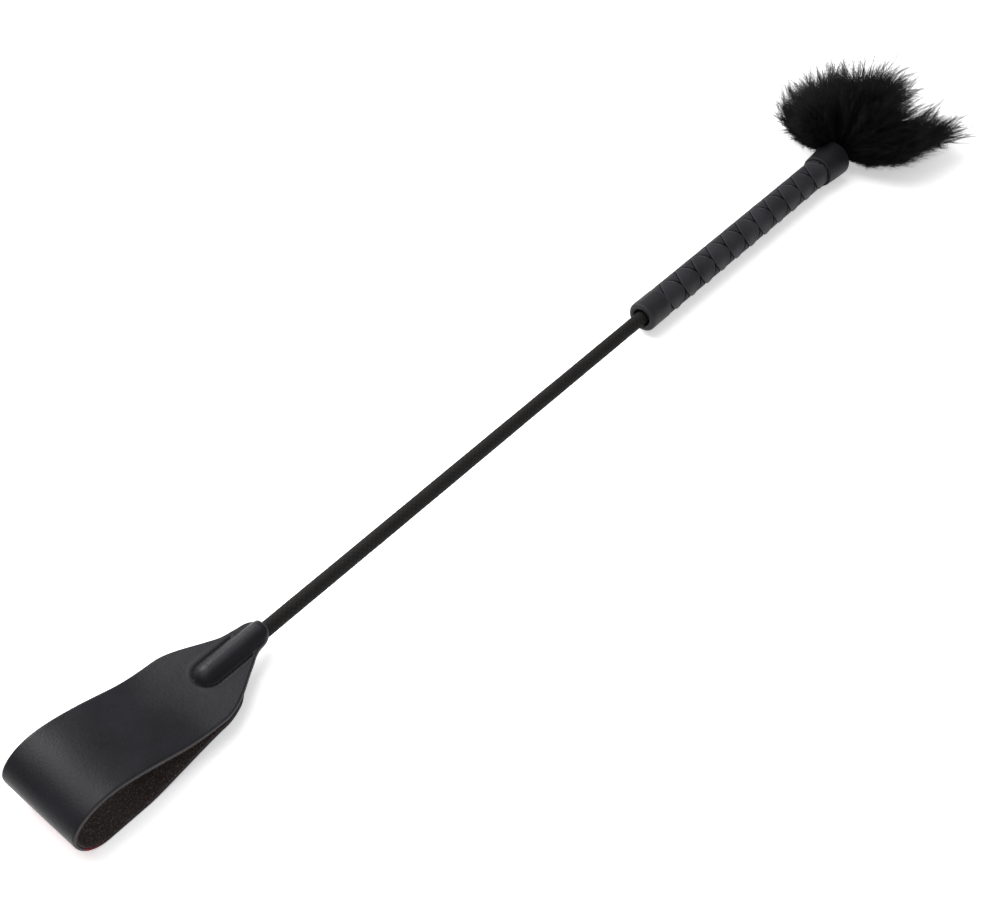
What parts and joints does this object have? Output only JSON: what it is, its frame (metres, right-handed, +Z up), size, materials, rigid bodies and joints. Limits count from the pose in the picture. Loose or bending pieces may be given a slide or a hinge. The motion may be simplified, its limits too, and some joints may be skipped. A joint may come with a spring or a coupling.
{
  "type": "riding crop",
  "caption": "Slim riding crop: folded leather loop flapper, braided shaft, laced leather grip with plain collars, and a fluffy feather tuft at the butt.",
  "frame": {"origin": "middle of the bottom of the whole crop's box as it lies on a surface", "axes": "+X along the crop from the flapper to the feather tuft, +Z up, shaft axis parallel to X"},
  "size_m": [0.7556, 0.1176, 0.0607],
  "materials": {
    "flapper_leather": "satin, fine pebble grain",
    "suede_lining": "matt suede",
    "stitch_thread": "matt waxed thread",
    "cap_plastic": "matt",
    "glass_fibre": "satin",
    "braided_sleeve": "matt fine braid",
    "bush_plastic": "matt",
    "core_wood": "plain turned",
    "collar_leather": "satin",
    "lap_leather": "satin",
    "strip_leather": "satin",
    "rear_leather": "satin",
    "plug_plastic": "matt",
    "binding_thread": "matt",
    "feather_black": "soft sheen"
  },
  "bodies": {
    "crop": {"tip_cap": "cap_plastic", "core_rod": "glass_fibre", "shaft_sleeve": "braided_sleeve", "front_bush": "bush_plastic", "handle_core": "core_wood", "front_collar": "collar_leather", "wrap_strip_over": "lap_leather", "wrap_strip_under": "strip_leather", "rear_collar": "rear_leather", "butt_plug": "plug_plastic", "quill_binding": "binding_thread", "feather_1": "feather_black", "feather_2": "feather_black", "feather_3": "feather_black", "feather_4": "feather_black", "feather_5": "feather_black", "feather_6": "feather_black", "feather_7": "feather_black", "feather_8": "feather_black"},
    "flapper": {"flapper_leather": "flapper_leather", "flapper_lining": "suede_lining", "pocket_stitching": "stitch_thread"}
  },
  "joints": [
    {"name": "flapper_flex", "type": "hinge", "parent": "crop", "child": "flapper", "pos_m": [-0.2838, 0, 0.012], "axis": [0, 1, 0], "range_deg": [-30, 30], "stiffness_Nm_per_rad": 1, "deforming": ["flapper_leather", "flapper_lining", "pocket_stitching"]}
  ]
}
